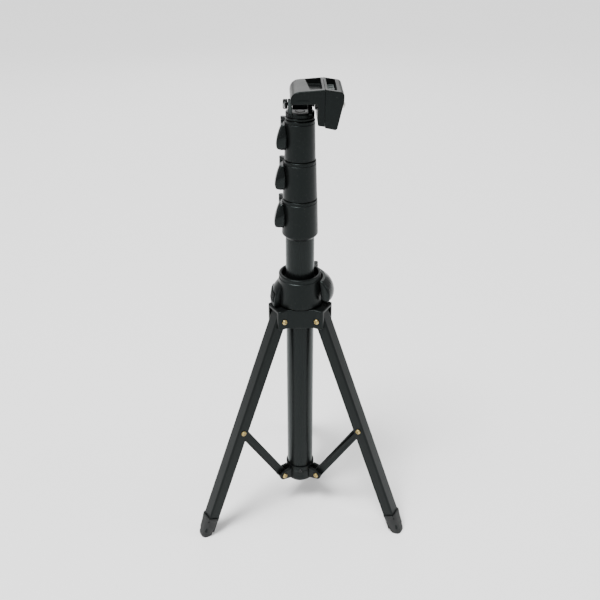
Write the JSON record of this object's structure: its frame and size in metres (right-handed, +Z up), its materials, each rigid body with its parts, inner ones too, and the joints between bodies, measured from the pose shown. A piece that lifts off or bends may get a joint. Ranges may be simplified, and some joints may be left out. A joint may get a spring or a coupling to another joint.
{
  "type": "telescopic webcam tripod",
  "caption": "Table tripod with a telescoping flip-lock mast, a sliding leg hub with braced folding channel legs, rubber feet and a tilting spring clamp head.",
  "frame": {"origin": "on the floor, at the centre of the footprint's bounding box; the mast axis stands 26.6 mm in front of it (towards -Y), because one leg points straight back", "axes": "+Z up along the mast, +Y to the rear leg, +X to the tripod's right side seen from the front (-Y)"},
  "size_m": [0.211, 0.1833, 0.4433],
  "materials": {
    "black_plastic": "fine satin moulded finish",
    "lever_plastic": "semi-gloss moulded plastic",
    "anodised_tube": "black anodised, semi-gloss",
    "leg_paint": "black powder coat, semi-gloss",
    "rubber": "matte",
    "nylon": "dark grey moulded nylon",
    "brass": "bright machined",
    "steel": "bright"
  },
  "bodies": {
    "mast": {"outer_tube": "anodised_tube", "base_cap": "black_plastic", "cap_screw": "steel", "right_lug_screw": "brass", "left_lug_screw": "brass", "rear_lug_screw": "brass", "lower_lock_body": "black_plastic", "lower_lock_bush": "nylon", "lower_lock_pin": "steel"},
    "lower_stage": {"lower_inner_tube": "anodised_tube", "lower_inner_tube_guide": "nylon", "middle_lock_body": "black_plastic", "middle_lock_bush": "nylon", "middle_lock_pin": "steel"},
    "middle_stage": {"middle_inner_tube": "anodised_tube", "middle_inner_tube_guide": "nylon", "upper_lock_body": "black_plastic", "upper_lock_bush": "nylon", "upper_lock_pin": "steel"},
    "top_stage": {"top_inner_tube": "anodised_tube", "top_inner_tube_guide": "nylon", "top_plug": "black_plastic", "pan_screw": "steel"},
    "pan_head": {"tilt_yoke": "black_plastic", "tilt_bolt": "steel"},
    "wing_nut": {"tilt_wing": "lever_plastic"},
    "clamp": {"clamp_body": "black_plastic", "fixed_pad": "rubber", "jaw_spring": "steel"},
    "jaw": {"sliding_jaw": "black_plastic", "jaw_block": "nylon", "front_jaw_rod": "steel", "rear_jaw_rod": "steel", "jaw_stud": "steel", "jaw_pad": "rubber"},
    "lower_lever": {"lower_lock_lever": "lever_plastic"},
    "middle_lever": {"middle_lock_lever": "lever_plastic"},
    "upper_lever": {"upper_lock_lever": "lever_plastic"},
    "hub": {"hub_spider": "black_plastic", "hub_sleeve": "nylon", "collar_housing": "black_plastic", "collar_pin": "steel", "right_hub_screw": "brass", "left_hub_screw": "brass", "rear_hub_screw": "brass"},
    "hub_lever": {"collar_lever": "lever_plastic"},
    "right_leg_body": {"right_leg": "leg_paint", "right_foot": "rubber", "right_leg_screw": "brass"},
    "right_brace_body": {"right_brace": "leg_paint"},
    "left_leg_body": {"left_leg": "leg_paint", "left_foot": "rubber", "left_leg_screw": "brass"},
    "left_brace_body": {"left_brace": "leg_paint"},
    "rear_leg_body": {"rear_leg": "leg_paint", "rear_foot": "rubber", "rear_leg_screw": "brass"},
    "rear_brace_body": {"rear_brace": "leg_paint"}
  },
  "joints": [
    {"name": "lower_tube_slide", "type": "slide", "parent": "mast", "child": "lower_stage", "axis": [0, 0, 1], "range_m": [0, 0.235]},
    {"name": "middle_tube_slide", "type": "slide", "parent": "lower_stage", "child": "middle_stage", "axis": [0, 0, 1], "range_m": [0, 0.235]},
    {"name": "top_tube_slide", "type": "slide", "parent": "middle_stage", "child": "top_stage", "axis": [0, 0, 1], "range_m": [0, 0.235]},
    {"name": "hub_slide", "type": "slide", "parent": "mast", "child": "hub", "axis": [0, 0, 1], "range_m": [0, 0.02122]},
    {"name": "lower_lever_hinge", "type": "hinge", "parent": "mast", "child": "lower_lever", "pos_m": [-0.01654, -0.01627, 0.3303], "axis": [0, 0, -1], "range_deg": [0, 95]},
    {"name": "middle_lever_hinge", "type": "hinge", "parent": "lower_stage", "child": "middle_lever", "pos_m": [-0.0156, -0.01685, 0.3653], "axis": [0, 0, -1], "range_deg": [0, 95]},
    {"name": "upper_lever_hinge", "type": "hinge", "parent": "middle_stage", "child": "upper_lever", "pos_m": [-0.01416, -0.01775, 0.4003], "axis": [0, 0, -1], "range_deg": [0, 95]},
    {"name": "hub_lever_hinge", "type": "hinge", "parent": "hub", "child": "hub_lever", "pos_m": [0.01549, -0.00448, 0.257], "axis": [0, 0, 1], "range_deg": [0, 80]},
    {"name": "right_leg_hinge", "type": "hinge", "parent": "hub", "child": "right_leg_body", "pos_m": [0.02026, -0.0383, 0.23], "axis": [0.5, 0.866, 0], "range_deg": [0, 18.96]},
    {"name": "right_brace_hinge", "type": "hinge", "parent": "right_leg_body", "child": "right_brace_body", "pos_m": [0.05916, -0.06075, 0.11549], "axis": [-0.5, -0.866, 0], "range_deg": [0, 45.84]},
    {"name": "left_leg_hinge", "type": "hinge", "parent": "hub", "child": "left_leg_body", "pos_m": [-0.02026, -0.0383, 0.23], "axis": [0.5, -0.866, 0], "range_deg": [0, 18.96]},
    {"name": "left_brace_hinge", "type": "hinge", "parent": "left_leg_body", "child": "left_brace_body", "pos_m": [-0.05916, -0.06075, 0.11549], "axis": [-0.5, 0.866, 0], "range_deg": [0, 45.84]},
    {"name": "rear_leg_hinge", "type": "hinge", "parent": "hub", "child": "rear_leg_body", "pos_m": [0, -0.0032, 0.23], "axis": [-1, 0, 0], "range_deg": [0, 18.96]},
    {"name": "rear_brace_hinge", "type": "hinge", "parent": "rear_leg_body", "child": "rear_brace_body", "pos_m": [0, 0.04171, 0.11549], "axis": [1, 0, 0], "range_deg": [0, 45.84]},
    {"name": "head_pan", "type": "hinge", "parent": "top_stage", "child": "pan_head", "pos_m": [0, -0.0266, 0.4171], "axis": [0, 0, 1], "range_deg": [-75, 75]},
    {"name": "head_tilt", "type": "hinge", "parent": "pan_head", "child": "clamp", "pos_m": [0, -0.0266, 0.4264], "axis": [1, 0, 0], "range_deg": [-40, 40]},
    {"name": "wing_turn", "type": "hinge", "parent": "pan_head", "child": "wing_nut", "pos_m": [-0.012, -0.0266, 0.4264], "axis": [1, 0, 0], "range_deg": [-35, 35]},
    {"name": "jaw_slide", "type": "slide", "parent": "clamp", "child": "jaw", "axis": [1, 0, 0], "range_m": [0, 0.014], "stiffness_N_per_m": 300, "springref_m": -0.004}
  ],
  "couplings": [
    {"joint": "right_leg_hinge", "follows": "hub_slide", "rad_per_m": 15.556},
    {"joint": "right_brace_hinge", "follows": "hub_slide", "rad_per_m": 37.619},
    {"joint": "left_leg_hinge", "follows": "hub_slide", "rad_per_m": 15.556},
    {"joint": "left_brace_hinge", "follows": "hub_slide", "rad_per_m": 37.619},
    {"joint": "rear_leg_hinge", "follows": "hub_slide", "rad_per_m": 15.556},
    {"joint": "rear_brace_hinge", "follows": "hub_slide", "rad_per_m": 37.619}
  ]
}
